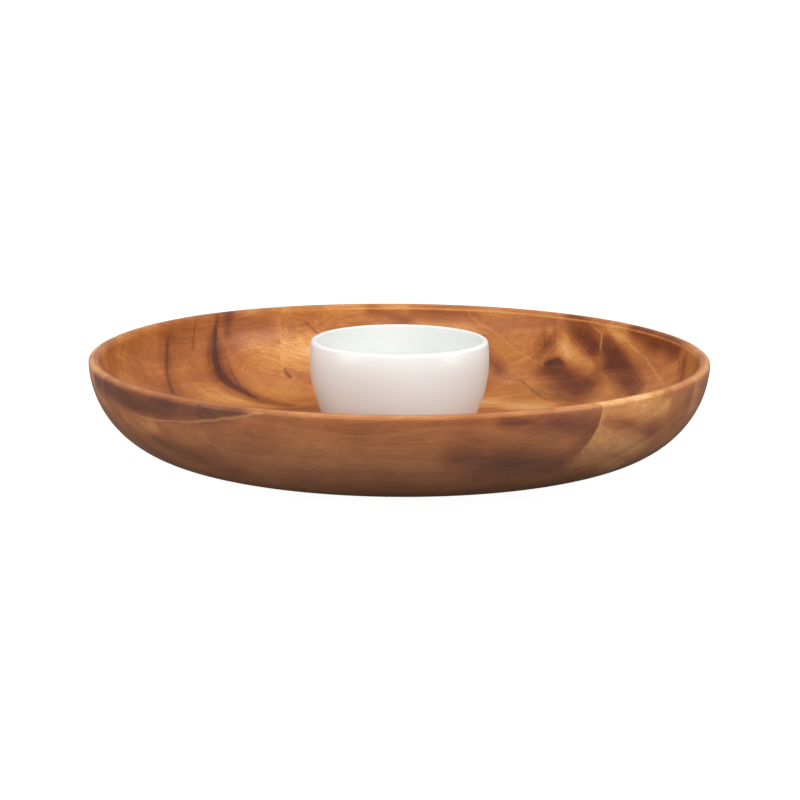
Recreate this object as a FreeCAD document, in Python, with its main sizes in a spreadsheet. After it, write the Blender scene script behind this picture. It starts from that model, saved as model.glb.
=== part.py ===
import FreeCAD, Part
import os
import Sketcher
from math import pi

# Chip and dip server: a wide shallow wooden server, turned from a blank of edge-glued
# boards, with a separate glazed dip bowl that stands in a shallow seat at its middle.
# Millimetres, +Z up. The origin is the centre of the underside, on the turning axis.
# The boards run along X and lie side by side along Y, front edge first.

DIMENSIONS = (
    # wooden server
    ("server_diameter", 400.0),
    ("server_height", 71.0),
    ("server_foot_diameter", 190.0),
    ("outer_corner_radius", 60.5),
    ("floor_height", 16.0),
    ("rim_thickness", 6.7),
    ("rim_round", 2.6),
    ("foot_round", 1.5),
    # boards of the blank
    ("board_width", 79.5),
    ("butt_joint_offset", 83.3),
    # seat for the dip bowl
    ("seat_depth", 2.0),
    ("seat_clearance", 0.8),
    ("seat_round", 0.8),
    # dip bowl, its heights counted from its own foot
    ("dip_height", 67.0),
    ("dip_belly_diameter", 116.0),
    ("dip_belly_height", 54.0),
    ("dip_side_radius", 82.0),
    ("dip_bottom_radius", 26.0),
    ("dip_inside_radius", 22.0),
    ("dip_wall", 3.6),
    ("dip_floor", 5.5),
    ("dip_foot_diameter", 76.0),
    ("dip_foot_width", 5.0),
    ("dip_foot_height", 3.0),
    ("dip_foot_round", 0.8),
    ("dip_lip_outer_round", 2.4),
    ("dip_lip_inner_round", 1.0),
)

START, END, CENTRE = 1, 2, 3      # point positions on a line or an arc of a sketch
SKETCH_ORIGIN = (-1, 1)           # the origin point of every sketch
SKETCH_Y_AXIS = -2                # the vertical axis of every sketch: the turning axis
NEAR = 1e-4                       # how close two heights or radii count as equal


# ---- the sheet ----

def make_sheet():
    """The spreadsheet of driving dimensions, one alias to a row."""
    new_sheet = document.addObject("Spreadsheet::Sheet", "Dimensions")
    for row, (alias, value) in enumerate(DIMENSIONS, start=1):
        new_sheet.set(f"A{row}", str(value))
        new_sheet.setAlias(f"A{row}", alias)
    document.recompute()
    return new_sheet


def size(alias):
    """One driving dimension, as a number."""
    return float(getattr(sheet, alias))


# ---- sketches of half sections: sketch x is the radius, sketch y is the height ----

def section_sketch(body, name):
    """An empty sketch on the body's own XZ plane."""
    sketch = body.newObject("Sketcher::SketchObject", name)
    plane = next(item for item in body.Origin.OriginFeatures if item.Role == "XZ_Plane")
    sketch.AttachmentSupport = [(plane, "")]
    sketch.MapMode = "FlatFace"
    return sketch


def line(sketch, first, last):
    """A line from first to last. Returns its number."""
    return sketch.addGeometry(Part.LineSegment(FreeCAD.Vector(*first), FreeCAD.Vector(*last)))


def arc(sketch, centre, radius, first_angle, last_angle):
    """An arc that runs anticlockwise between two angles in radians. Returns its number."""
    circle = Part.Circle(FreeCAD.Vector(*centre), FreeCAD.Vector(0, 0, 1), radius)
    return sketch.addGeometry(Part.ArcOfCircle(circle, first_angle, last_angle))


def constrain(sketch, kind, *where):
    """A constraint with no value."""
    sketch.addConstraint(Sketcher.Constraint(kind, *where))


def join(sketch, *ends):
    """The first end meets the second, the third meets the fourth, and so on."""
    for one, other in zip(ends[0::2], ends[1::2]):
        constrain(sketch, "Coincident", *one, *other)


def drive(sketch, name, kind, where, expression):
    """A constraint whose value follows the sheet."""
    value = float(sketch.evalExpression(expression))
    number = sketch.addConstraint(Sketcher.Constraint(kind, *where, value))
    sketch.renameConstraint(number, name)
    sketch.setExpression(f"Constraints.{name}", expression)


def turn(body, sketch, name):
    """The sketch revolved once round the turning axis."""
    turned = body.newObject("PartDesign::Revolution", name)
    turned.Profile = sketch
    turned.ReferenceAxis = (sketch, ["V_Axis"])
    turned.Angle = 360
    sketch.Visibility = False
    document.recompute()
    return turned


def circles_at(feature, height, radii):
    """Names of the feature's circular edges at this height whose radius is listed."""
    names = []
    for number, edge in enumerate(feature.Shape.Edges, start=1):
        if not isinstance(edge.Curve, Part.Circle):
            continue
        flat = edge.BoundBox.ZLength < NEAR and abs(edge.BoundBox.ZMin - height) < NEAR
        if flat and any(abs(edge.Curve.Radius - radius) < NEAR for radius in radii):
            names.append(f"Edge{number}")
    assert len(names) == len(radii), (feature.Name, height, radii, names)
    return names


def round_edges(body, base, name, edges, alias):
    """A fillet on the named edges of the base feature, its radius from the sheet."""
    fillet = body.newObject("PartDesign::Fillet", name)
    fillet.Base = (base, edges)
    fillet.setExpression("Radius", f"Dimensions.{alias}")
    body.Tip = fillet
    document.recompute()
    return fillet


# ---- the turned form of the wooden server ----

def server_section(body):
    """Half section: flat foot, sloping underside, round outer corner, level rim,
    round inner corner, flat floor and the seat for the dip bowl's foot."""
    rim_radius = size("server_diameter") / 2
    rim_height = size("server_height")
    foot_radius = size("server_foot_diameter") / 2
    outer = size("outer_corner_radius")
    floor = size("floor_height")
    inner = rim_height - floor
    rim_inner = rim_radius - size("rim_thickness")
    seat_radius = size("dip_foot_diameter") / 2 + size("seat_clearance")
    seat = floor - size("seat_depth")
    slope_end = rim_radius - outer

    sketch = section_sketch(body, "ServerSection")
    foot = line(sketch, (0, 0), (foot_radius, 0))
    slope = line(sketch, (foot_radius, 0), (slope_end, rim_height - outer))
    outer_arc = arc(sketch, (slope_end, rim_height), outer, 1.6 * pi, 2 * pi)
    rim = line(sketch, (rim_radius, rim_height), (rim_inner, rim_height))
    inner_arc = arc(sketch, (rim_inner - inner, rim_height), inner, 1.5 * pi, 2 * pi)
    floor_line = line(sketch, (rim_inner - inner, floor), (seat_radius, floor))
    seat_wall = line(sketch, (seat_radius, floor), (seat_radius, seat))
    seat_floor = line(sketch, (seat_radius, seat), (0, seat))
    axis = line(sketch, (0, seat), (0, 0))

    join(sketch, (foot, START), SKETCH_ORIGIN, (foot, END), (slope, START),
         (outer_arc, END), (rim, START), (rim, END), (inner_arc, END),
         (floor_line, END), (seat_wall, START), (seat_wall, END), (seat_floor, START),
         (seat_floor, END), (axis, START), (axis, END), (foot, START))
    constrain(sketch, "Tangent", slope, END, outer_arc, START)
    constrain(sketch, "Tangent", inner_arc, START, floor_line, START)
    for level in (foot, rim, floor_line, seat_floor):
        constrain(sketch, "Horizontal", level)
    for upright in (axis, seat_wall):
        constrain(sketch, "Vertical", upright)
    constrain(sketch, "Horizontal", outer_arc, CENTRE, outer_arc, END)
    constrain(sketch, "Horizontal", inner_arc, CENTRE, inner_arc, END)

    across, up = "DistanceX", "DistanceY"
    drive(sketch, "FootRadius", across, (*SKETCH_ORIGIN, foot, END),
          "Dimensions.server_foot_diameter / 2")
    drive(sketch, "RimRadius", across, (*SKETCH_ORIGIN, rim, START),
          "Dimensions.server_diameter / 2")
    drive(sketch, "RimHeight", up, (*SKETCH_ORIGIN, rim, START), "Dimensions.server_height")
    drive(sketch, "OuterCorner", "Radius", (outer_arc,), "Dimensions.outer_corner_radius")
    drive(sketch, "RimThickness", across, (rim, END, rim, START), "Dimensions.rim_thickness")
    drive(sketch, "FloorHeight", up, (*SKETCH_ORIGIN, floor_line, END),
          "Dimensions.floor_height")
    drive(sketch, "SeatRadius", across, (*SKETCH_ORIGIN, seat_wall, START),
          "Dimensions.dip_foot_diameter / 2 + Dimensions.seat_clearance")
    drive(sketch, "SeatDepth", up, (seat_wall, END, seat_wall, START),
          "Dimensions.seat_depth")
    return sketch


def make_turned_form():
    """The whole server as it leaves the lathe, before it is told apart into boards."""
    body = document.addObject("PartDesign::Body", "TurnedForm")
    turned = turn(body, server_section(body), "ServerTurned")
    rim_radius = size("server_diameter") / 2
    rim_edges = circles_at(turned, size("server_height"),
                           (rim_radius, rim_radius - size("rim_thickness")))
    rounded = round_edges(body, turned, "RimRound", rim_edges, "rim_round")
    foot_edges = circles_at(rounded, 0, (size("server_foot_diameter") / 2,))
    rounded = round_edges(body, rounded, "FootRound", foot_edges, "foot_round")
    seat_radius = size("dip_foot_diameter") / 2 + size("seat_clearance")
    seat_edges = circles_at(rounded, size("floor_height"), (seat_radius,))
    round_edges(body, rounded, "SeatRound", seat_edges, "seat_round")
    return body


# ---- the boards ----

def make_board(label, front, back, left="-Dimensions.server_diameter / 2",
               right="Dimensions.server_diameter / 2"):
    """One board: the turned form where it lies inside the board's own stock, which
    reaches from front to back along Y and from left to right along X."""
    stock = document.addObject("Part::Box", f"{label}_stock")
    stock.setExpression("Placement.Base.x", left)
    stock.setExpression("Placement.Base.y", front)
    stock.setExpression("Length", f"({right}) - ({left})")
    stock.setExpression("Width", f"({back}) - ({front})")
    stock.setExpression("Height", "Dimensions.server_height")
    board = document.addObject("Part::Common", label)
    board.Base = turned_form
    board.Tool = stock
    board.Label = label
    return board


def make_boards():
    """Four whole boards and the two narrow edge boards. A butt joint divides the back
    edge board into a left and a right length."""
    front_edge = "-Dimensions.server_diameter / 2"
    back_edge = "Dimensions.server_diameter / 2"
    front_joint = "-2 * Dimensions.board_width"
    back_joint = "2 * Dimensions.board_width"
    butt_joint = "-Dimensions.butt_joint_offset"
    one_width = "Dimensions.board_width"
    return [
        make_board("front_edge_board", front_edge, front_joint),
        make_board("front_board", front_joint, f"-{one_width}"),
        make_board("middle_front_board", f"-{one_width}", "0"),
        make_board("middle_back_board", "0", one_width),
        make_board("back_board", one_width, back_joint),
        make_board("back_edge_board_left", back_joint, back_edge, right=butt_joint),
        make_board("back_edge_board_right", back_joint, back_edge, left=butt_joint),
    ]


# ---- the dip bowl ----

def dip_section(body):
    """Half section: foot ring, round bottom, side that bulges to a belly under the lip."""
    belly = size("dip_belly_diameter") / 2
    belly_height = size("dip_belly_height")
    side = size("dip_side_radius")
    bottom = size("dip_bottom_radius")
    inside = size("dip_inside_radius")
    wall = size("dip_wall")
    top = size("dip_height")
    foot_outer = size("dip_foot_diameter") / 2
    foot_inner = foot_outer - size("dip_foot_width")
    foot_height = size("dip_foot_height")
    inside_floor = foot_height + size("dip_floor")
    side_centre = (belly - side, belly_height)
    inside_centre = (belly / 2, inside_floor + inside)

    sketch = section_sketch(body, "DipSection")
    under = line(sketch, (0, foot_height), (foot_inner, foot_height))
    ring_inside = line(sketch, (foot_inner, foot_height), (foot_inner, 0))
    ring_base = line(sketch, (foot_inner, 0), (foot_outer, 0))
    ring_outside = line(sketch, (foot_outer, 0), (foot_outer, 2 * foot_height))
    bottom_arc = arc(sketch, (belly / 2, foot_height + bottom), bottom, 1.65 * pi, 1.85 * pi)
    side_arc = arc(sketch, side_centre, side, -0.15 * pi, 0.05 * pi)
    lip = line(sketch, (belly - 1, top), (belly - 1 - wall, top))
    inner_side_arc = arc(sketch, side_centre, side - wall, -0.14 * pi, 0.05 * pi)
    inner_bottom_arc = arc(sketch, inside_centre, inside, 1.5 * pi, 1.86 * pi)
    inner_floor = line(sketch, (belly / 2, inside_floor), (0, inside_floor))
    axis = line(sketch, (0, inside_floor), (0, foot_height))

    join(sketch, (under, END), (ring_inside, START), (ring_inside, END), (ring_base, START),
         (ring_base, END), (ring_outside, START), (ring_outside, END), (bottom_arc, START),
         (side_arc, END), (lip, START), (lip, END), (inner_side_arc, END),
         (inner_floor, END), (axis, START), (axis, END), (under, START),
         (side_arc, CENTRE), (inner_side_arc, CENTRE))
    constrain(sketch, "Tangent", bottom_arc, END, side_arc, START)
    constrain(sketch, "Tangent", inner_side_arc, START, inner_bottom_arc, END)
    constrain(sketch, "Tangent", inner_bottom_arc, START, inner_floor, START)
    for level in (under, ring_base, lip, inner_floor):
        constrain(sketch, "Horizontal", level)
    for upright in (ring_inside, ring_outside, axis):
        constrain(sketch, "Vertical", upright)
    constrain(sketch, "PointOnObject", axis, START, SKETCH_Y_AXIS)
    constrain(sketch, "Horizontal", *SKETCH_ORIGIN, ring_base, START)

    across, up = "DistanceX", "DistanceY"
    drive(sketch, "SideCentre", across, (side_arc, CENTRE, *SKETCH_ORIGIN),
          "Dimensions.dip_side_radius - Dimensions.dip_belly_diameter / 2")
    drive(sketch, "BellyHeight", up, (*SKETCH_ORIGIN, side_arc, CENTRE),
          "Dimensions.dip_belly_height")
    drive(sketch, "Side", "Radius", (side_arc,), "Dimensions.dip_side_radius")
    drive(sketch, "InnerSide", "Radius", (inner_side_arc,),
          "Dimensions.dip_side_radius - Dimensions.dip_wall")
    drive(sketch, "Bottom", "Radius", (bottom_arc,), "Dimensions.dip_bottom_radius")
    drive(sketch, "BottomHeight", up, (*SKETCH_ORIGIN, bottom_arc, CENTRE),
          "Dimensions.dip_foot_height + Dimensions.dip_bottom_radius")
    drive(sketch, "InnerBottom", "Radius", (inner_bottom_arc,), "Dimensions.dip_inside_radius")
    drive(sketch, "Top", up, (*SKETCH_ORIGIN, lip, START), "Dimensions.dip_height")
    drive(sketch, "FootHeight", up, (ring_base, START, under, START),
          "Dimensions.dip_foot_height")
    drive(sketch, "FloorThickness", up, (under, START, axis, START), "Dimensions.dip_floor")
    drive(sketch, "FootRadius", across, (*SKETCH_ORIGIN, ring_base, END),
          "Dimensions.dip_foot_diameter / 2")
    drive(sketch, "FootWidth", across, (ring_base, START, ring_base, END),
          "Dimensions.dip_foot_width")
    return sketch


def make_dip_bowl():
    """The glazed dip bowl, standing on the floor of its seat."""
    body = document.addObject("PartDesign::Body", "dip_bowl")
    body.Label = "dip_bowl"
    turned = turn(body, dip_section(body), "DipTurned")
    top = size("dip_height")
    inner_lip, outer_lip = sorted(
        edge.Curve.Radius for edge in turned.Shape.Edges
        if isinstance(edge.Curve, Part.Circle) and edge.BoundBox.ZMin > top - NEAR)
    inner_edge = circles_at(turned, top, (inner_lip,))
    rounded = round_edges(body, turned, "LipInnerRound", inner_edge, "dip_lip_inner_round")
    outer_edge = circles_at(rounded, top, (outer_lip,))
    rounded = round_edges(body, rounded, "LipOuterRound", outer_edge, "dip_lip_outer_round")
    foot_outer = size("dip_foot_diameter") / 2
    foot_edges = circles_at(rounded, 0, (foot_outer, foot_outer - size("dip_foot_width")))
    round_edges(body, rounded, "DipFootRound", foot_edges, "dip_foot_round")
    body.setExpression("Placement.Base.z", "Dimensions.floor_height - Dimensions.seat_depth")
    return body


# ---- checks and files ----

def check_document():
    """Stops if any object of the document failed to rebuild."""
    for item in document.Objects:
        assert not {"Invalid", "Error"} & set(item.State), (item.Name, item.State)
        if item.TypeId == "Sketcher::SketchObject":
            assert item.FullyConstrained, item.Name


def write_parts(parts):
    """Each sub-part's shape, checked, as parts/LABEL.step."""
    os.makedirs("parts", exist_ok=True)
    for item in parts:
        shape = item.Shape
        assert not shape.isNull() and shape.isValid() and len(shape.Solids) == 1, item.Label
    for item in parts:
        item.Shape.exportStep(f"parts/{item.Label}.step")
        print(f"{item.Label}: {item.Shape.Volume / 1000:.1f} cm3")


document = FreeCAD.newDocument("chip_and_dip_server")
sheet = make_sheet()
turned_form = make_turned_form()
server_parts = [*make_boards(), make_dip_bowl()]
document.recompute()
check_document()
write_parts(server_parts)
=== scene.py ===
import math

import bmesh
import bpy
import numpy as np
from mathutils import Matrix, Vector


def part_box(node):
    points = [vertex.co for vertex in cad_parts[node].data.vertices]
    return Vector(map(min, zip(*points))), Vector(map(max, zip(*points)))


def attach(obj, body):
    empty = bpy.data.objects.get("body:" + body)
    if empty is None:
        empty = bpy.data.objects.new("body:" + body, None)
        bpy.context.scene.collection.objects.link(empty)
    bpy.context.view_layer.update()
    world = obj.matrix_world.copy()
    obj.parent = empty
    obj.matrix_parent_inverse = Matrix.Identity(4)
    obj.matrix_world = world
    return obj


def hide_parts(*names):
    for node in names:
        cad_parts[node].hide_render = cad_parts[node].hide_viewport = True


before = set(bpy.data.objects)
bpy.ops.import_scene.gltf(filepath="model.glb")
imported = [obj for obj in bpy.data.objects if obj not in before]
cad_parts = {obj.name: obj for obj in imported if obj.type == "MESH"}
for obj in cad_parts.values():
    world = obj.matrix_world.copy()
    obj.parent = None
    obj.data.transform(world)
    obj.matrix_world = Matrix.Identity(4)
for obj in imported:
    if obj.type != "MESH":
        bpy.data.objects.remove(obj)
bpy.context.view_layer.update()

# Chip and dip server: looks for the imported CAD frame. Blender's units are metres; the
# sections and the wood's figure are worked out in millimetres and scaled once. The boards
# and the dip bowl are remade as fine meshes on the CAD's sections, so that they shade
# smoothly, and every surface has a procedural material. The one change of shape is that the
# server's rim rises a little, as settle() says.

MM = 0.001
AXIS_X, AXIS_Y, AXIS_Z = 0, 1, 2
NEAR = 1e-3                           # points of a section this close are one, in mm
WELD = 1e-7                           # vertices this close are one, in metres
CUT_SLACK = 1e-6                      # how far past a plane counts as past it, in metres


# ---------------------------------------------------------------- sizes, in mm

# The heights and the joints come from the frame; the rest repeats the CAD's dimensions.
def span_mm(node, axis):
    """Lowest and highest coordinate of a CAD node along one axis."""
    low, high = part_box(node)
    return low[axis] / MM, high[axis] / MM


RIM_Z = span_mm("middle_back_board", AXIS_Z)[1]
RIM_R = 200.0
FOOT_R = 95.0
OUTER_CORNER = 60.5
FLOOR_Z = 16.0
RIM_THICKNESS = 6.7
RIM_ROUND = 2.6
INNER_CORNER = RIM_Z - FLOOR_Z
SEAT_R = 38.8
SEAT_ROUND = 0.8
FOOT_ROUND = 1.5
SEAT_CORNER = 0.4                     # the hollow corner round the seat's floor

DIP_Z0, DIP_Z1 = span_mm("dip_bowl", AXIS_Z)
DIP_BELLY_R = 58.0
DIP_BELLY_Z = DIP_Z0 + 54.0
DIP_SIDE = 82.0
DIP_BOTTOM = 26.0
DIP_INSIDE = 22.0
DIP_WALL = 3.6
DIP_FOOT_R = 38.0
DIP_FOOT_W = 5.0
DIP_FOOT_H = 3.0
DIP_FLOOR = 5.5
DIP_LIP_OUTER = 2.4
DIP_LIP_INNER = 1.0
SOFT_CORNER = 0.8                     # the foot ring's edges and corners

# How finely the forms are made: a step along the section in mm, and points round it.
SERVER_STEP, SERVER_TURNS = 1.6, 600
DIP_STEP, DIP_TURNS = 1.0, 360


# ---------------------------------------------------------------- half sections

def arc(centre, radius, first_deg, last_deg, step, hollow=False):
    """Points along an arc and their normals, which point to its centre if it is hollow."""
    sweep = math.radians(last_deg - first_deg)
    count = max(3, round(abs(sweep) * radius / step))
    angles = math.radians(first_deg) + sweep * np.linspace(0, 1, count + 1)
    outward = np.stack([np.cos(angles), np.sin(angles)], 1)
    return np.asarray(centre) + radius * outward, -outward if hollow else outward


def run(first, last, step):
    """Points along a straight line and their normals, on its right-hand side."""
    first, last = np.asarray(first, float), np.asarray(last, float)
    along = last - first
    length = math.hypot(*along)
    count = max(1, round(length / step))
    points = first + along * np.linspace(0, 1, count + 1)[:, None]
    return points, np.tile([along[1] / length, -along[0] / length], (count + 1, 1))


def chain(*stretches):
    """Stretches of a section joined end to end: points (radius, height) and normals."""
    points = np.concatenate([stretch[0] for stretch in stretches])
    normals = np.concatenate([stretch[1] for stretch in stretches])
    apart = np.linalg.norm(np.diff(points, axis=0), axis=1) > NEAR
    keep = np.concatenate([[True], apart])
    return points[keep], normals[keep]


def edge_round(centre, reach, top, radius):
    """Where a round of this radius sits between a level top and an arc: its centre, and
    the angle at which it lies from the arc's centre. reach is from centre to centre."""
    rise = top - radius - centre[1]
    across = math.sqrt(reach ** 2 - rise ** 2)
    return (centre[0] + across, top - radius), math.degrees(math.atan2(rise, across))


def server_section(step):
    """Foot, sloping underside, outer corner, rounded rim, inner corner, floor and seat."""
    corner = (RIM_R - OUTER_CORNER, RIM_Z)
    to_foot = math.hypot(corner[0] - FOOT_R, corner[1])
    slope = math.degrees(math.acos(OUTER_CORNER / to_foot)
                         - math.atan2(corner[0] - FOOT_R, corner[1]))
    touch = -90 + slope
    outer_round, outer_turn = edge_round(corner, OUTER_CORNER - RIM_ROUND, RIM_Z, RIM_ROUND)
    hollow = (RIM_R - RIM_THICKNESS - INNER_CORNER, RIM_Z)
    inner_round, inner_turn = edge_round(hollow, INNER_CORNER + RIM_ROUND, RIM_Z, RIM_ROUND)
    foot_end = FOOT_R - FOOT_ROUND * math.tan(math.radians(slope / 2))
    outer = arc(corner, OUTER_CORNER, touch, outer_turn, step)
    small, rim_step = 0.2, 0.5
    foot_round = arc((foot_end, FOOT_ROUND), FOOT_ROUND, -90, touch, small)
    return chain(
        run((0, 0), (foot_end, 0), 2 * step),
        foot_round,
        run(foot_round[0][-1], outer[0][0], step),
        outer,
        arc(outer_round, RIM_ROUND, outer_turn, 90, rim_step),
        run((outer_round[0], RIM_Z), (inner_round[0], RIM_Z), rim_step),
        arc(inner_round, RIM_ROUND, 90, 180 + inner_turn, rim_step),
        arc(hollow, INNER_CORNER, inner_turn, -90, step, hollow=True),
        run((hollow[0], FLOOR_Z), (SEAT_R + SEAT_ROUND, FLOOR_Z), step),
        arc((SEAT_R + SEAT_ROUND, FLOOR_Z - SEAT_ROUND), SEAT_ROUND, 90, 180, 1.25 * small),
        run((SEAT_R, FLOOR_Z - SEAT_ROUND), (SEAT_R, DIP_Z0 + SEAT_CORNER), 2 * small),
        arc((SEAT_R - SEAT_CORNER, DIP_Z0 + SEAT_CORNER), SEAT_CORNER, 0, -90, small,
            hollow=True),
        run((SEAT_R - SEAT_CORNER, DIP_Z0), (0, DIP_Z0), 2 * step),
    )


def nested(centre, reach, height):
    """Where the centre of an arc lies that is tangent inside another, at this height: the
    centre and the angle at which the two meet. reach is from centre to centre."""
    drop = height - centre[1]
    across = math.sqrt(reach ** 2 - drop ** 2)
    return (centre[0] + across, height), math.degrees(math.atan2(drop, across))


def dip_section(step):
    """Foot ring, round bottom, bulging side, rounded lip, inside wall and floor."""
    base = DIP_Z0
    under = base + DIP_FOOT_H
    floor = under + DIP_FLOOR
    ring_in = DIP_FOOT_R - DIP_FOOT_W
    side = (DIP_BELLY_R - DIP_SIDE, DIP_BELLY_Z)
    bottom, bottom_turn = nested(side, DIP_SIDE - DIP_BOTTOM, under + DIP_BOTTOM)
    inside, inside_turn = nested(side, DIP_SIDE - DIP_WALL - DIP_INSIDE, floor + DIP_INSIDE)
    outer_round, outer_turn = edge_round(side, DIP_SIDE - DIP_LIP_OUTER, DIP_Z1,
                                         DIP_LIP_OUTER)
    inner_round, inner_turn = edge_round(side, DIP_SIDE - DIP_WALL + DIP_LIP_INNER, DIP_Z1,
                                         DIP_LIP_INNER)
    crook = DIP_BOTTOM + SOFT_CORNER       # to the soft corner between the ring and the body
    crook_x = DIP_FOOT_R + SOFT_CORNER
    crook_z = bottom[1] - math.sqrt(crook ** 2 - (crook_x - bottom[0]) ** 2)
    crook_deg = math.degrees(math.atan2(crook_z - bottom[1], crook_x - bottom[0]))
    small = 0.25
    return chain(
        run((0, under), (ring_in - SOFT_CORNER, under), 2 * step),
        arc((ring_in - SOFT_CORNER, under - SOFT_CORNER), SOFT_CORNER, 90, 0, small,
            hollow=True),
        run((ring_in, under - SOFT_CORNER), (ring_in, base + SOFT_CORNER), small),
        arc((ring_in + SOFT_CORNER, base + SOFT_CORNER), SOFT_CORNER, 180, 270, small),
        run((ring_in + SOFT_CORNER, base), (DIP_FOOT_R - SOFT_CORNER, base), step),
        arc((DIP_FOOT_R - SOFT_CORNER, base + SOFT_CORNER), SOFT_CORNER, -90, 0, small),
        run((DIP_FOOT_R, base + SOFT_CORNER), (DIP_FOOT_R, crook_z), small),
        arc((crook_x, crook_z), SOFT_CORNER, 180, 180 + crook_deg, small, hollow=True),
        arc(bottom, DIP_BOTTOM, crook_deg, bottom_turn, step),
        arc(side, DIP_SIDE, bottom_turn, outer_turn, step),
        arc(outer_round, DIP_LIP_OUTER, outer_turn, 90, small),
        run((outer_round[0], DIP_Z1), (inner_round[0], DIP_Z1), small),
        arc(inner_round, DIP_LIP_INNER, 90, 180 + inner_turn, small),
        arc(side, DIP_SIDE - DIP_WALL, inner_turn, inside_turn, step, hollow=True),
        arc(inside, DIP_INSIDE, inside_turn, -90, step, hollow=True),
        run((inside[0], floor), (0, floor), 2 * step),
    )


# ---------------------------------------------------------------- turned meshes

def turned_arrays(section, turns):
    """Vertices, normals, place along the section (0 to 1) and quads of a turned form."""
    points, normals = section
    angle = np.linspace(0, 2 * math.pi, turns, endpoint=False)
    around = np.stack([np.cos(angle), np.sin(angle)], 1)
    rows = len(points)

    def turned(pairs):
        flat = pairs[:, None, 0:1] * around[None]
        upright = np.broadcast_to(pairs[:, None, 1:2], (rows, turns, 1))
        return np.concatenate([flat, upright], 2).reshape(-1, 3)

    along = np.broadcast_to(np.linspace(0, 1, rows)[:, None], (rows, turns))
    row, turn = np.meshgrid(np.arange(rows - 1), np.arange(turns), indexing="ij")
    after = (turn + 1) % turns
    quads = np.stack([row * turns + turn, row * turns + after,
                      (row + 1) * turns + after, (row + 1) * turns + turn], -1)
    return turned(points), turned(normals), along.reshape(-1), quads.reshape(-1, 4)


# Where the blank's rim has risen as the wood dried: bearing in degrees, mm, tightness.
RISES = ((135, 0.8, 8.0), (310, 0.6, 10.0))


def settle(vertices):
    """The small rises of the rim, which fade to nothing at the foot."""
    bearing = np.arctan2(vertices[:, 1], vertices[:, 0])
    rise = sum(most * np.exp(tight * (np.cos(bearing - math.radians(where)) - 1))
               for where, most, tight in RISES)
    vertices[:, 2] += rise * (vertices[:, 2] / RIM_Z) ** 2


def cut_mesh(name, arrays, low=None, high=None):
    """The closed mesh of a turned form, cut to a box in X and Y, in metres. Its points keep
    their true normals and their place along the section as attributes."""
    vertices, normals, along, quads = arrays
    if low is not None:
        corners = vertices[quads][..., :2]
        near = (corners.max(1) > np.asarray(low)) & (corners.min(1) < np.asarray(high))
        quads = quads[near.all(1)]
    used, quads = np.unique(quads, return_inverse=True)
    quads = quads.reshape(-1, 4)
    mesh = bpy.data.meshes.new(name)
    mesh.from_pydata(vertices[used] * MM, [], quads.tolist())
    shade = bmesh.new()
    shade.from_mesh(mesh)
    true_normal = shade.verts.layers.float_vector.new("true_normal")
    place = shade.verts.layers.float.new("place")
    for vertex, normal, where in zip(shade.verts, normals[used], along[used]):
        vertex[true_normal] = normal
        vertex[place] = where
    bmesh.ops.remove_doubles(shade, verts=shade.verts, dist=WELD)
    cap = shade.faces.layers.int.new("cap")
    if low is not None:
        for axis in (AXIS_X, AXIS_Y):
            for limit, sign in ((low[axis], -1), (high[axis], 1)):
                cut_at(shade, axis, limit * MM, sign, cap)
    shade.normal_update()
    shade.to_mesh(mesh)
    shade.free()
    set_normals(mesh)
    return bpy.data.objects.new(name, mesh)


def cut_at(shade, axis, limit, sign, cap):
    """Cuts off what lies past one plane and closes the cut with marked faces."""
    place = Vector((0, 0, 0))
    place[axis] = limit
    normal = Vector((0, 0, 0))
    normal[axis] = sign
    if not any((vertex.co[axis] - limit) * sign > CUT_SLACK for vertex in shade.verts):
        return
    everything = shade.verts[:] + shade.edges[:] + shade.faces[:]
    made = bmesh.ops.bisect_plane(shade, geom=everything, dist=WELD, plane_co=place,
                                  plane_no=normal, clear_outer=True)
    edges = [item for item in made["geom_cut"] if isinstance(item, bmesh.types.BMEdge)]
    filled = bmesh.ops.triangle_fill(shade, edges=edges, use_beauty=True, normal=normal)
    for face in filled["geom"]:
        if isinstance(face, bmesh.types.BMFace):
            face[cap] = 1
            if face.normal.dot(normal) < 0:
                face.normal_flip()


def read(items, field, width, kind=np.float32):
    """What each item of a mesh's collection holds in one field, a row of it for each."""
    values = np.empty(len(items) * width, kind)
    items.foreach_get(field, values)
    return values.reshape(-1, width)


def set_normals(mesh):
    """Smooth shading by the section's true normals, and flat shading on the cut faces."""
    corner_vertex = read(mesh.loops, "vertex_index", 1, np.int32)[:, 0]
    normals = read(mesh.attributes["true_normal"].data, "vector", 3)[corner_vertex]
    cap = read(mesh.attributes["cap"].data, "value", 1, np.int32)[:, 0]
    sizes = read(mesh.polygons, "loop_total", 1, np.int32)[:, 0]
    face_normals = read(mesh.polygons, "normal", 3)
    on_cap = np.repeat(cap, sizes).astype(bool)
    normals[on_cap] = np.repeat(face_normals, sizes, 0)[on_cap]
    mesh.polygons.foreach_set("use_smooth", [True] * len(mesh.polygons))
    mesh.normals_split_custom_set(normals.tolist())


def drop_layers(mesh):
    """Takes away the attributes that only the making of the mesh needs."""
    for name in ("true_normal", "place", "cap"):
        mesh.attributes.remove(mesh.attributes[name])


# ---------------------------------------------------------------- node helpers

def linear(red, green, blue):
    """A linear colour from sRGB values out of 255."""
    values = []
    for value in (red, green, blue):
        part = value / 255
        values.append(part / 12.92 if part <= 0.04045 else ((part + 0.055) / 1.055) ** 2.4)
    return (*values, 1.0)


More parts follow.
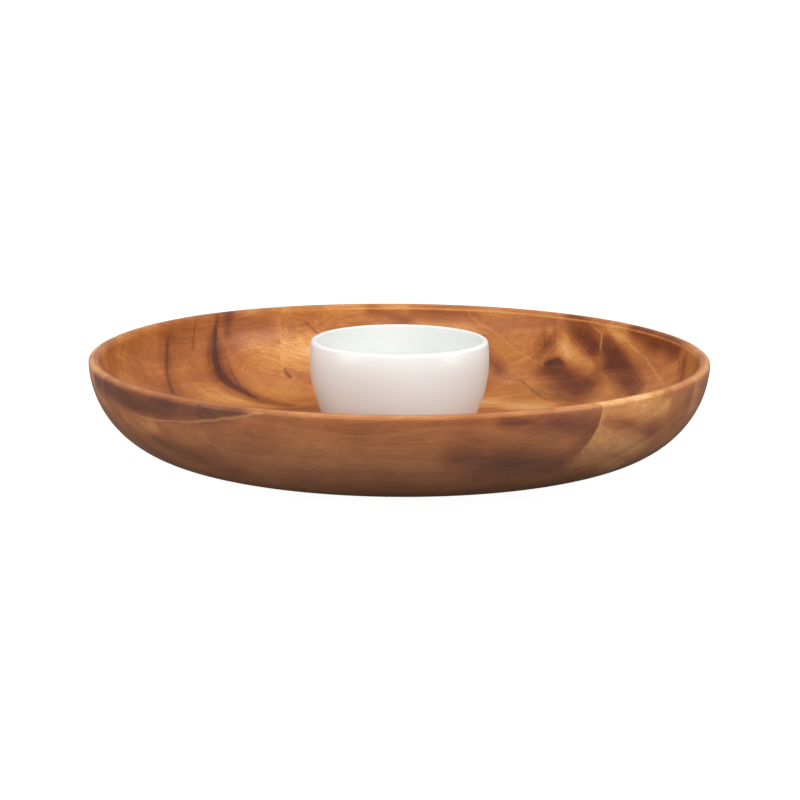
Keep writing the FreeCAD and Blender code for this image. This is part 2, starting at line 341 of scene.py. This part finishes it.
class Graph:
    """A material's or a world's node tree, written as calls that return output sockets."""

    def __init__(self, owner):
        owner.use_nodes = True
        self.owner = owner
        self.tree = owner.node_tree
        self.tree.nodes.clear()

    def node(self, kind, inputs=None, **settings):
        made = self.tree.nodes.new(kind)
        for name, value in settings.items():
            setattr(made, name, value)
        for key, value in (inputs or {}).items():
            self.feed(made.inputs[key], value)
        return made

    def feed(self, socket, value):
        if isinstance(value, bpy.types.NodeSocket):
            self.tree.links.new(value, socket)
        else:
            socket.default_value = value

    def place_mm(self):
        """The place on the object at rest, in mm."""
        return self.scale(self.node("ShaderNodeTexCoord").outputs["Object"], (1 / MM,) * 3)

    def math(self, operation, first, second=0.0, third=0.0):
        inputs = {0: first, 1: second, 2: third}
        return self.node("ShaderNodeMath", inputs, operation=operation).outputs[0]

    def scale(self, vector, factors):
        return self.node("ShaderNodeVectorMath", {0: vector, 1: factors},
                         operation="MULTIPLY").outputs[0]

    def add_vectors(self, first, second):
        return self.node("ShaderNodeVectorMath", {0: first, 1: second}, operation="ADD").outputs[0]

    def noise(self, vector, scale, detail, roughness):
        inputs = {"Vector": vector, "Scale": scale, "Detail": detail, "Roughness": roughness}
        return self.node("ShaderNodeTexNoise", inputs).outputs["Fac"]

    def noise_1d(self, value, detail, roughness):
        inputs = {"W": value, "Scale": 1.0, "Detail": detail, "Roughness": roughness}
        return self.node("ShaderNodeTexNoise", inputs, noise_dimensions="1D").outputs["Fac"]

    def blend_range(self, value, low, high, out_low=0.0, out_high=1.0):
        """value from low to high, eased, gives out_low to out_high, and no more."""
        inputs = {"Value": value, "From Min": low, "From Max": high, "To Min": out_low,
                  "To Max": out_high}
        return self.node("ShaderNodeMapRange", inputs,
                         interpolation_type="SMOOTHSTEP").outputs["Result"]

    def mix(self, factor, first, second):
        """One colour turning into another; the node's colour sockets go by number."""
        made = self.node("ShaderNodeMix", data_type="RGBA", clamp_factor=True)
        for socket, value in ((0, factor), (6, first), (7, second)):
            self.feed(made.inputs[socket], value)
        return made.outputs[2]

    def ramp(self, value, stops):
        made = self.node("ShaderNodeValToRGB", {"Fac": value})
        elements = made.color_ramp.elements
        while len(elements) < len(stops):
            elements.new(0.5)
        for element, (position, colour) in zip(elements, stops):
            element.position = position
            element.color = colour
        return made.outputs["Color"]

    def attribute(self, name):
        return self.node("ShaderNodeAttribute", attribute_name=name).outputs["Fac"]

    def finish(self, shader, output="ShaderNodeOutputMaterial"):
        out = self.node(output)
        self.tree.links.new(shader.outputs[0], out.inputs["Surface"])
        return self.owner


# ---------------------------------------------------------------- the wood's figure

INSIDE, OUTSIDE = "inside", "outside"
FRONT, EDGE = "front_board", "front_edge_board"       # the outside of one board only
LINES = ("thread", "vein")            # kinds that are thin lines and not areas
LINE_REACH = 4.0                      # a line's mask is half gone this far from it, in mm
SHEEN_DEPTH = 34.0                      # this far below the rim the outside is fully greyed as a painted reflection, in mm
STROKE_APART = 40.0                   # keeps the streaks of two strokes from matching, in mm
RIM_HIGHLIGHT_DEPTH = 3.2                    # how far down the outer edge the painted highlight reaches, in mm
INNER_EDGE_HIGHLIGHT = (1.2, 0.6)               # the painted highlight on the inner edge: how strong, and its width in mm

# Each stroke is a streak or patch in the grain: its side, how strong it is, and points
# (x, y, z, half width) in mm along it. Thin lines have no width of their own.
# Not an example to follow: many of these points are not chosen by hand. A scratch script
# carried places read off the photograph onto the surface, and its figures were copied.
STROKES = {
    # purple-brown heartwood, nearly black
    "heart": (
        (INSIDE, 0.8, (-127, 148, 70, 2.0), (-128, 144, 60, 1.8), (-128, 140, 50, 1.8),
         (-127, 134, 41, 2.4)),
        (INSIDE, 1.0, (-127, 134, 41, 2.4), (-123, 128, 32, 3.2), (-117, 125, 26, 3.2),
         (-109, 123, 22, 2.0), (-98, 118, 18, 1.2)),
        (INSIDE, 0.6, (-120, 142, 43, 0.8), (-116, 135, 33, 1.6), (-110, 128, 25, 1.4),
         (-101, 121, 19, 1.0)),
        (INSIDE, 0.8, (-81, 158, 31, 1.2), (-77, 153, 26, 2.2)),
        (INSIDE, 0.85, (98, 150, 37, 0.8), (104, 149, 38, 2.6), (110, 148, 39, 3.6),
         (116, 142, 36, 2.0)),
    ),
    # darker, redder wood
    "shade": (
        (INSIDE, 0.8, (-156, 117, 69, 1.6), (-158, 109, 59, 1.8), (-159, 103, 48, 2.4),
         (-157, 93, 39, 2.4), (-153, 82, 28, 2.0)),
        (INSIDE, 0.45, (-156, 117, 69, 8), (-158, 104, 49, 12), (-154, 83, 29, 11)),
        (INSIDE, 0.8, (-118, 153, 69, 7), (-119, 149, 58, 5)),
        (INSIDE, 0.8, (-129, 143, 60, 6), (-125, 130, 34, 9), (-109, 123, 22, 8),
         (-75, 103, 16, 6)),
        (INSIDE, 0.6, (-141, 133, 68, 3), (-142, 126, 52, 3)),
        (INSIDE, 0.7, (-88, 82, 16, 9), (-60, 92, 16, 12)),
        (INSIDE, 1.0, (121, 151, 68, 8), (128, 146, 60, 10), (136, 136, 52, 7)),
        (INSIDE, 1.0, (143, 127, 56, 6), (148, 115, 46, 9), (156, 94, 37, 9), (160, 80, 32, 7)),
        (INSIDE, 1.0, (160, 108, 70, 6), (174, 85, 66, 8), (185, 60, 66, 8)),
        (INSIDE, 0.85, (104, 146, 35, 9), (112, 136, 30, 12), (124, 116, 24, 14)),
        (INSIDE, 0.7, (60, 174, 38, 6), (70, 162, 31, 6)),
        (INSIDE, 0.6, (-160, 110, 64, 9), (-128, 147, 62, 10), (-95, 170, 63, 9)),
        (INSIDE, 0.55, (10, 193, 66, 6), (28, 191, 66, 7), (52, 186, 66, 6)),
        (INSIDE, 0.7, (108, 158, 58, 9), (100, 158, 49, 9)),
        (INSIDE, 0.6, (-20, 192, 68, 5), (5, 192, 60, 6)),
        (INSIDE, 0.7, (186, 40, 60, 5), (182, 30, 48, 6)),
        (OUTSIDE, 1.0, (-189, -60, 65, 5), (-176, -94, 65, 7), (-150, -130, 63, 8),
         (-120, -158, 66, 8), (-95, -174, 70, 5)),
        (OUTSIDE, 0.5, (-150, -122, 40, 4), (-128, -138, 36, 7), (-100, -150, 30, 9)),
        (OUTSIDE, 0.7, (36, -192, 44, 12), (66, -180, 38, 15), (96, -164, 36, 12)),
        (OUTSIDE, 0.6, (62, -190, 66, 5), (92, -178, 63, 9)),
        (EDGE, 0.6, (92, -178, 63, 9), (118, -162, 56, 13), (106, -162, 40, 10)),
        (OUTSIDE, 0.7, (188, -56, 62, 12), (196, -24, 62, 12)),
        (OUTSIDE, 0.5, (123, -156, 60, 3), (136, -144, 56, 6), (154, -118, 46, 6)),
    ),
    # paler, more golden wood
    "gleam": (
        (INSIDE, 1.0, (106, 160, 60, 4), (116, 150, 50, 6), (124, 138, 42, 7),
         (130, 128, 38, 5)),
        (INSIDE, 0.7, (146, 129, 66, 5), (158, 106, 55, 6)),
        (INSIDE, 0.8, (-108, 164, 46, 12), (-88, 165, 40, 14), (-60, 178, 44, 12)),
        (INSIDE, 0.8, (96, 100, 16, 12), (60, 120, 16, 14)),
        (INSIDE, 0.6, (-130, 108, 20, 12), (-90, 105, 16, 10)),
        (OUTSIDE, 0.9, (-168, -100, 48, 6), (-160, -112, 44, 8), (-150, -127, 50, 6)),
        (OUTSIDE, 0.4, (-150, -127, 50, 4), (-128, -150, 57, 4)),
        (OUTSIDE, 0.3, (-152, -112, 33, 4), (-127, -125, 24, 5), (-105, -140, 21, 5)),
        (FRONT, 0.9, (116, -162, 67, 9), (146, -136, 63, 9), (163, -116, 62, 6)),
        (FRONT, 0.9, (112, -162, 50, 9), (134, -141, 42, 11), (148, -118, 34, 9)),
        (FRONT, 0.8, (98, -162, 36, 9), (122, -142, 32, 10), (134, -120, 24, 8)),
    ),
    # thin light lines
    "thread": (
        (INSIDE, 0.5, (48, 186, 67), (55, 185, 60), (71, 176, 52), (80, 170, 44), (99, 152, 36)),
        (INSIDE, 0.5, (99, 152, 36), (104, 156, 44), (111, 156, 49)),
        (INSIDE, 0.8, (134, 141, 66), (140, 134, 62), (139, 131, 53)),
        (INSIDE, 0.7, (150, 124, 66), (158, 108, 58), (164, 98, 54), (172, 75, 46),
         (176, 57, 41)),
        (OUTSIDE, 0.6, (-162, -114, 54), (-145, -134, 54), (-119, -159, 59), (-100, -173, 64),
         (-81, -183, 69)),
    ),
    # thin dark lines
    "vein": (
        (INSIDE, 1.0, (-190, 27, 64), (-189, 26, 50)),
        (INSIDE, 0.9, (-184, 60, 66), (-186, 50, 58), (-184, 46, 46)),
        (INSIDE, 0.6, (109, 159, 58), (109, 156, 50)),
        (INSIDE, 0.6, (101, 161, 52), (102, 160, 48)),
        (INSIDE, 0.8, (-65, 181, 59), (-57, 183, 52)),
        (INSIDE, 0.8, (187, 56, 64), (184, 44, 52)),
        (INSIDE, 0.8, (86, 145, 25), (101, 117, 17)),
        (INSIDE, 0.8, (98, 130, 20), (120, 104, 18)),
        (INSIDE, 0.8, (110, 120, 20), (130, 92, 18)),
        (INSIDE, 0.8, (-141, 133, 66), (-142, 127, 54)),
    ),
}


def stroke_field(places, normals, points):
    """How far each place lies from the stroke's line, in mm and in half widths, and its
    place across and along the stroke in mm."""
    nearest = np.full(len(places), np.inf)
    gaps = np.full(len(places), np.inf)
    flow = np.zeros((len(places), 3))
    travelled = 0.0
    for first, last in zip(points, points[1:]):
        start, end = np.array(first[:3], float), np.array(last[:3], float)
        along = end - start
        length = math.sqrt(along @ along)
        part = np.clip((places - start) @ along / length ** 2, 0, 1)
        offset = places - start - part[:, None] * along
        gap = np.linalg.norm(offset, axis=1)
        side = np.sign(np.einsum("ij,ij->i", offset, np.cross(along, normals)))
        width = 1.0 if len(first) == 3 else first[3] + part * (last[3] - first[3])
        better = gap / width < nearest
        nearest[better] = (gap / width)[better]
        gaps[better] = gap[better]
        flow[better, 0] = (side * gap)[better]
        flow[better, 1] = travelled + (part * length)[better]
        travelled += length
    return gaps, nearest, flow


def write(mesh, name, values):
    """Adds a point attribute to the mesh: a number, or a row of three, for each point."""
    kind, field = ("FLOAT", "value") if values.ndim == 1 else ("FLOAT_VECTOR", "vector")
    mesh.attributes.new(name, kind, "POINT").data.foreach_set(field, values.ravel())


def add_figure(mesh, board, rim_place, grey_sheen_place):
    """Writes each kind of stroke to the mesh: KIND is how strong it is at a point, halved at
    the edge of a streak or patch and at LINE_REACH from a thin line, and KIND_flow is the
    place across and along the stroke in mm. outside is 0 inside the server and at the top
    of its rim, and 1 low on its outside, where the wood is greyed as a painted reflection.
    The last attribute is a painted highlight, strongest on the rim's two edges."""
    places = read(mesh.vertices, "co", 3).astype(float) / MM
    normals = read(mesh.attributes["true_normal"].data, "vector", 3).astype(float)
    place = read(mesh.attributes["place"].data, "value", 1).astype(float)[:, 0]
    count = len(places)
    sides = {INSIDE: place > rim_place, OUTSIDE: place <= rim_place}
    for only in (FRONT, EDGE):
        sides[only] = (place <= rim_place) & (board == only)
    for kind, strokes in STROKES.items():
        strength = np.zeros(count)
        flows = np.zeros((count, 3))
        for number, (side, strong, *points) in enumerate(strokes):
            gap, near, flow = stroke_field(places, normals, points)
            profile = 1.5 - gap / LINE_REACH if kind in LINES else 1 - near / 2
            here = strong * np.clip(profile, 0, 1) * sides[side]
            better = here > strength
            strength[better] = here[better]
            flow[:, 2] = STROKE_APART * number
            flows[better] = flow[better]
        write(mesh, kind, strength)
        write(mesh, kind + "_flow", flows)
    below = RIM_Z - places[:, 2]
    strong, width = INNER_EDGE_HIGHLIGHT
    # painted highlight: a lighter tone along the rim's two edges, where the light catches them
    painted_rim_highlight = np.where(place <= rim_place, np.clip(1 - below / RIM_HIGHLIGHT_DEPTH, 0, 1),
                      strong * np.exp(-((below - RIM_ROUND) / width) ** 2))
    # outside: how much of the painted grey reflection the wood takes, rising down the outside
    write(mesh, "outside", np.clip((rim_place - place) / (rim_place - grey_sheen_place), 0, 1))
    write(mesh, "painted_rim_highlight", painted_rim_highlight)


# ---------------------------------------------------------------- materials

INSIDE_RAMP = (                        # the inside: the wood's own colour
    (0.00, linear(62, 28, 18)),
    (0.20, linear(106, 52, 28)),
    (0.40, linear(143, 81, 40)),
    (0.58, linear(172, 104, 52)),
    (0.76, linear(202, 138, 74)),
    (1.00, linear(232, 184, 124)),
)
PAINTED_SHEEN_RAMP = (                          # the outside: the same wood greyed, a painted reflection of the white room
    (0.00, linear(88, 60, 50)),
    (0.20, linear(115, 77, 61)),
    (0.40, linear(141, 92, 66)),
    (0.58, linear(164, 109, 76)),
    (0.76, linear(190, 136, 92)),
    (1.00, linear(224, 178, 124)),
)
HEART_COLOUR = linear(76, 38, 31)
THREAD_COLOUR = linear(220, 162, 106)
PORE_COLOUR = linear(60, 32, 22)
GLAZE_COLOUR = linear(227, 228, 225)
SPECK_COLOUR = linear(200, 192, 178)

# How fine each part of the wood's figure is: its detail per mm along the grain and across it.
WANDER_SCALE = (0.006, 0.016, 0.016)
MOTTLE_SCALE = (0.022, 0.030, 0.030)
FIBRE_SCALE = (0.020, 0.70, 0.70)
PORE_SCALE = (0.075, 2.1, 2.1)
STREAK_SCALE = (0.55, 0.035, 1.0)     # across a stroke and along it
BAND_SCALE, RING_SCALE = 0.045, 0.30  # out from the pith
WANDER = 44.0                         # how far the grain strays, in mm

# Per board: where its pith lies (y, z), a seed, its mean tone, how strong its bands are,
# and the knot that its grain bends round: centre, reach and push in mm. Three boards are
# cut from one plank.
PLANK = {"pith": (150, 190), "seed": 21.6, "bands": 0.28,
         "knot": ((-99, 160, 34), (24, 26, 24), 20)}
BOARDS = {
    "front_edge_board": {"pith": (-260, 160), "seed": 3.1, "tone": 0.49, "bands": 0.16,
                         "knot": ((-60, -190, 20), (60, 20, 20), 3)},
    "front_board": {"pith": (-150, 150), "seed": 7.4, "tone": 0.50, "bands": 0.22,
                    "knot": ((150, -110, 30), (40, 30, 30), 8)},
    "middle_front_board": {"pith": (-30, -70), "seed": 12.2, "tone": 0.56, "bands": 0.30,
                           "knot": ((-120, -20, 16), (50, 30, 20), 6)},
    "middle_back_board": {**PLANK, "tone": 0.585},
    "back_board": {**PLANK, "tone": 0.57},
    "back_edge_board_left": {**PLANK, "tone": 0.57},
    "back_edge_board_right": {"pith": (190, -80), "seed": 31.7, "tone": 0.625, "bands": 0.22,
                              "knot": ((112, 150, 38), (40, 30, 30), 12)},
}


class Wood(Graph):
    """Solid wood whose fibres run along X."""

    def __init__(self, name, board):
        super().__init__(bpy.data.materials.new("wood_" + name))
        self.board = board
        self.place = self.place_mm()
        seed = board["seed"]
        self.shifted = self.add_vectors(self.place, (seed * 37.0, seed * 11.0, seed * 5.0))
        self.grain = self.wandering_grain()
        self.fibre = self.noise(self.scale(self.grain, FIBRE_SCALE), 1.0, 4.0, 0.62)
        self.mottle = self.noise(self.scale(self.shifted, MOTTLE_SCALE), 1.0, 3.0, 0.6)

    def wandering_grain(self):
        """The place in the board as it would be if its grain were straight."""
        wander = self.node("ShaderNodeTexNoise", {
            "Vector": self.scale(self.shifted, WANDER_SCALE), "Scale": 1.0, "Detail": 2.0})
        drift = self.scale(self.add_vectors(wander.outputs["Color"], (-0.5, -0.5, -0.5)),
                           (0.0, WANDER, WANDER))
        grain = self.add_vectors(self.place, drift)
        (x, y, z), reach, push = self.board["knot"]
        from_knot = self.scale(self.add_vectors(self.place, (-x, -y, -z)),
                               tuple(1 / value for value in reach))
        far = self.node("ShaderNodeVectorMath", {0: from_knot, 1: from_knot},
                        operation="DOT_PRODUCT").outputs["Value"]
        bulge = self.math("POWER", math.e, self.math("MULTIPLY", far, -1.0))
        shove = self.node("ShaderNodeCombineXYZ", {
            "Y": self.math("MULTIPLY", bulge, 0.5 * push),
            "Z": self.math("MULTIPLY", bulge, -push)}).outputs[0]
        return self.add_vectors(grain, shove)

    def tone(self):
        """Bands and growth rings round the pith, fibres and slow changes."""
        seed, bands = self.board["seed"], self.board["bands"]
        pith_y, pith_z = self.board["pith"]
        from_pith = self.scale(self.add_vectors(self.grain, (0.0, -pith_y, -pith_z)),
                               (0.0, 1.0, 1.0))
        radius = self.node("ShaderNodeVectorMath", {0: from_pith},
                           operation="LENGTH").outputs["Value"]
        band = self.noise_1d(self.math("MULTIPLY_ADD", radius, BAND_SCALE, seed), 2.0, 0.55)
        rings = self.noise_1d(self.math("MULTIPLY_ADD", radius, RING_SCALE, seed * 2), 3.0, 0.62)
        value = self.board["tone"]
        for part, strength in ((band, bands * 1.6), (rings, 0.15), (self.fibre, 0.30),
                               (self.mottle, 0.50)):
            value = self.math("ADD", value,
                              self.math("MULTIPLY_ADD", part, strength, -strength / 2))
        return value

    def flow(self, kind):
        """The place across and along a kind's strokes, in mm."""
        return self.node("ShaderNodeAttribute", attribute_name=kind + "_flow").outputs["Vector"]

    def stroke(self, kind, low, high, ragged):
        """Where a kind of stroke shows, 0 to 1. Its edges follow streaks that run along it."""
        streaks = self.noise(self.scale(self.flow(kind), STREAK_SCALE), 1.0, 3.0, 0.6)
        streaks = self.math("MULTIPLY_ADD", self.fibre, 0.5, self.math("MULTIPLY", streaks, 0.5))
        field = self.math("MULTIPLY_ADD", streaks, ragged, self.attribute(kind))
        return self.blend_range(field, low + ragged / 2, high + ragged / 2)

    def line(self, kind, half_width):
        """Where a kind of thin line shows, 0 to 1: it wavers and comes and goes."""
        along = self.scale(self.flow(kind), (0.0, 1.0, 1.0))
        waver = self.noise(along, 0.09, 1.0, 0.5)
        across = self.node("ShaderNodeSeparateXYZ", {0: self.flow(kind)}).outputs["X"]
        across = self.math("ABSOLUTE", self.math("MULTIPLY_ADD", waver, 3.0,
                                                 self.math("SUBTRACT", across, 1.5)))
        core = self.blend_range(across, 0.0, half_width * 1.8, 1.0, 0.0)
        fade = self.blend_range(self.noise(along, 0.05, 1.0, 0.5), 0.15, 0.50)
        mask = self.blend_range(self.attribute(kind), 0.1, 1.0)
        return self.math("MULTIPLY", core, self.math("MULTIPLY", fade, mask))


def wood_material(name, board):
    """Oiled wood with its strokes and pores: glossier inside, greyed low on the outside as a
    painted reflection, and paler on the rim's edges as a painted highlight.
    """
    wood = Wood(name, board)
    outside = wood.attribute("outside")
    tone = wood.tone()
    painted_rim_highlight = wood.attribute("painted_rim_highlight")
    # the shade strokes fade where the painted rim highlight lies
    dark = wood.math("MULTIPLY_ADD", painted_rim_highlight, 0.22, -0.36)
    for kind, lift in (("shade", dark), ("gleam", 0.24)):
        tone = wood.math("MULTIPLY_ADD", wood.stroke(kind, 0.10, 0.85, 0.9), lift, tone)
    # painted highlight on the rim's edges, lightening the tone
    tone = wood.math("MULTIPLY_ADD", painted_rim_highlight, 0.20, tone)
    # the outside ramp greys the wood as a painted reflection of the white room
    colour = wood.mix(outside, wood.ramp(tone, INSIDE_RAMP), wood.ramp(tone, PAINTED_SHEEN_RAMP))
    for shown, strength, stroke_colour in (
            (wood.line("thread", 0.9), 0.50, THREAD_COLOUR),
            (wood.line("vein", 0.9), 0.60, HEART_COLOUR),
            (wood.stroke("heart", 0.22, 0.66, 0.9), 0.82, HEART_COLOUR)):
        colour = wood.mix(wood.math("MULTIPLY", shown, strength), colour, stroke_colour)

    pore_noise = wood.noise(wood.scale(wood.grain, PORE_SCALE), 1.0, 1.0, 0.5)
    pores = wood.blend_range(pore_noise, 0.60, 0.74)
    darker = wood.mix(0.55, colour, PORE_COLOUR)
    colour = wood.mix(wood.math("MULTIPLY", pores, 0.5), colour, darker)

    relief = wood.math("MULTIPLY_ADD", pores, -0.6, wood.fibre)
    bump = wood.node("ShaderNodeBump", {"Strength": 0.25, "Distance": 0.06 * MM,
                                        "Height": relief})
    rough = wood.blend_range(wood.fibre, 0.25, 0.75, 0.38, 0.48)
    surface = wood.node("ShaderNodeBsdfPrincipled", {
        "Base Color": colour, "Roughness": rough, "Normal": bump.outputs["Normal"],
        "IOR": wood.blend_range(outside, 0.0, 1.0, 1.26, 1.50),
        "Coat Weight": wood.blend_range(outside, 0.0, 1.0, 0.13, 0.15),
        "Coat Roughness": 0.24})
    return wood.finish(surface)


def glaze_material():
    """Off-white glaze with faint specks and dimples under a soft gloss."""
    graph = Graph(bpy.data.materials.new("glaze"))
    place = graph.place_mm()
    speck = graph.blend_range(graph.noise(place, 0.9, 2.0, 0.5), 0.70, 0.80)
    colour = graph.mix(graph.math("MULTIPLY", speck, 0.04), GLAZE_COLOUR, SPECK_COLOUR)
    dimples = graph.noise(place, 0.25, 2.0, 0.5)
    bump = graph.node("ShaderNodeBump", {"Strength": 0.2, "Distance": 0.02 * MM,
                                         "Height": dimples})
    surface = graph.node("ShaderNodeBsdfPrincipled", {
        "Base Color": colour, "Roughness": 0.27, "Normal": bump.outputs["Normal"],
        "IOR": 1.50})
    return graph.finish(surface)


# ---------------------------------------------------------------- the pieces

def add_piece(piece, body, node, material):
    """Puts a piece in the scene in the place of its CAD node."""
    bpy.context.scene.collection.objects.link(piece)
    piece.data.materials.clear()
    piece.data.materials.append(material)
    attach(piece, body)
    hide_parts(node)


def build_boards():
    """One turned form, cut into the boards that it was glued from."""
    section = server_section(SERVER_STEP)
    arrays = turned_arrays(section, SERVER_TURNS)
    settle(arrays[0])
    radii, heights = section[0].T
    steps = len(radii) - 1
    rim_place = np.flatnonzero(heights > RIM_Z - NEAR).mean() / steps
    # the painted grey reflection is full from this row of the outside down
    greyed_rows = np.flatnonzero(heights < RIM_Z - SHEEN_DEPTH)
    grey_sheen_place = greyed_rows[greyed_rows < radii.argmax()].max() / steps
    for name, board in BOARDS.items():
        (x0, x1), (y0, y1) = span_mm(name, AXIS_X), span_mm(name, AXIS_Y)
        low, high = cut_limits(name, (x0, y0), (x1, y1))
        piece = cut_mesh(name + "_wood", arrays, low, high)
        add_figure(piece.data, name, rim_place, grey_sheen_place)
        drop_layers(piece.data)
        add_piece(piece, "server", name, wood_material(name, board))


def cut_limits(name, low, high):
    """The planes that a board is cut at: its box, where that lies on a joint."""
    inner_boards = ("front_board", "back_board", "middle_front_board", "middle_back_board")
    joints_y = {value for board in inner_boards for value in span_mm(board, AXIS_Y)}
    butt = span_mm("back_edge_board_right", AXIS_X)[0]
    far = RIM_R + 10                      # past everything
    at_joint = 0.2

    def limit(value, joints, far):
        near = [joint for joint in joints if abs(joint - value) < at_joint]
        return near[0] if near else far

    butts = [butt] if name.startswith("back_edge") else []
    return ((limit(low[0], butts, -far), limit(low[1], joints_y, -far)),
            (limit(high[0], butts, far), limit(high[1], joints_y, far)))


def build_dip_bowl():
    piece = cut_mesh("dip_bowl_glazed", turned_arrays(dip_section(DIP_STEP), DIP_TURNS))
    drop_layers(piece.data)
    add_piece(piece, "dip_bowl", "dip_bowl", glaze_material())


# ---------------------------------------------------------------- stage, light and camera

LIT_POINT = (0, 0, 0.04)
# The area lights, which all face LIT_POINT: name, place and size in metres, power in watts.
LIGHTS = (
    ("overhead", (0.0, 0.1, 2.2), (1.6, 1.6), 16),
    ("front_box", (-0.45, -2.3, 0.95), (2.2, 1.0), 30),
    ("left_box", (-1.75, -1.45, 0.50), (0.9, 0.8), 8),
    ("right_box", (1.60, -0.75, 0.98), (0.8, 0.6), 15),
    ("low_box", (-1.9, -0.7, 0.0), (0.9, 0.3), 8),
    ("low_box", (1.9, -0.7, 0.0), (0.9, 0.3), 8),
)


def area_light(name, place, size, power):
    light = bpy.data.lights.new(name, "AREA")
    light.shape = "RECTANGLE"
    light.size, light.size_y = size
    light.energy = power
    lamp = bpy.data.objects.new(name, light)
    lamp.location = place
    aim = Vector(LIT_POINT) - Vector(place)
    lamp.rotation_euler = aim.to_track_quat("-Z", "Y").to_euler()
    bpy.context.scene.collection.objects.link(lamp)


# The room's brightness by the sine of the height that a ray comes from.
ROOM = (
    (-0.55, (0.03, 0.028, 0.025)),
    (-0.32, (0.13, 0.125, 0.12)),
    (-0.10, (0.52, 0.52, 0.52)),
    (0.05, (0.55, 0.55, 0.55)),
    (0.22, (0.60, 0.605, 0.61)),
)


def build_room():
    """A plain bright room, dark straight below."""
    world = bpy.data.worlds.new("room")
    bpy.context.scene.world = world
    graph = Graph(world)
    ray = graph.node("ShaderNodeTexCoord").outputs["Generated"]
    height = graph.node("ShaderNodeSeparateXYZ", {0: ray}).outputs["Z"]
    stops = [((sine + 1) / 2, (*colour, 1.0)) for sine, colour in ROOM]
    colour = graph.ramp(graph.math("MULTIPLY_ADD", height, 0.5, 0.5), stops)
    back = graph.node("ShaderNodeBackground", {"Color": colour, "Strength": 1.0})
    graph.finish(back, "ShaderNodeOutputWorld")


FLOOR_SIZE = 40                       # metres, so that its edge is out of sight
FLOOR_DROP = 0.2 * MM                 # clear of the foot's own face


def build_stage():
    """A pale floor that keeps only a trace of shadow."""
    graph = Graph(bpy.data.materials.new("floor"))
    glow = graph.node("ShaderNodeEmission", {"Color": (1, 1, 1, 1), "Strength": 0.96})
    matte = graph.node("ShaderNodeBsdfDiffuse", {"Color": (0.25, 0.25, 0.25, 1)})
    both = graph.node("ShaderNodeAddShader", {0: glow.outputs[0], 1: matte.outputs[0]})
    material = graph.finish(both)
    bpy.ops.mesh.primitive_plane_add(size=FLOOR_SIZE)
    floor = bpy.context.object
    floor.name = "floor"
    floor.location.z = -FLOOR_DROP
    floor.data.materials.append(material)
    floor.visible_diffuse = False
    floor.visible_glossy = False
    floor.visible_shadow = False


# The photograph's viewing angle, from a camera fitted to the object's outline: degrees above
# the table, roll in degrees, lens in mm and shifts in widths of the frame.
CAMERA_LIFT, CAMERA_ROLL = 11.478, 0.305
CAMERA_LENS, CAMERA_SHIFT = 138.85, (0.00114, 0.01116)
CAMERA_AIM, CAMERA_DISTANCE = (0, 0, 0.035), 2.0


def build_camera():
    """A long lens, a little above the rim."""
    lift, turn = math.radians(CAMERA_LIFT), math.radians(CAMERA_ROLL)
    distance, aim = CAMERA_DISTANCE, Vector(CAMERA_AIM)
    camera = bpy.data.cameras.new("camera")
    camera.lens = CAMERA_LENS
    camera.shift_x, camera.shift_y = CAMERA_SHIFT
    camera.clip_end = 100                 # metres, past the floor that is in sight
    holder = bpy.data.objects.new("camera", camera)
    back = Vector((0, -math.cos(lift), math.sin(lift)))
    facing = (-back).to_track_quat("-Z", "Y").to_matrix().to_4x4()
    holder.matrix_world = (Matrix.Translation(aim + back * distance) @ facing
                           @ Matrix.Rotation(turn, 4, "Z"))
    bpy.context.scene.collection.objects.link(holder)
    bpy.context.scene.camera = holder


bpy.context.scene.view_settings.view_transform = "Standard"
build_stage()
build_room()
for light in LIGHTS:
    area_light(*light)
build_camera()
build_boards()
build_dip_bowl()
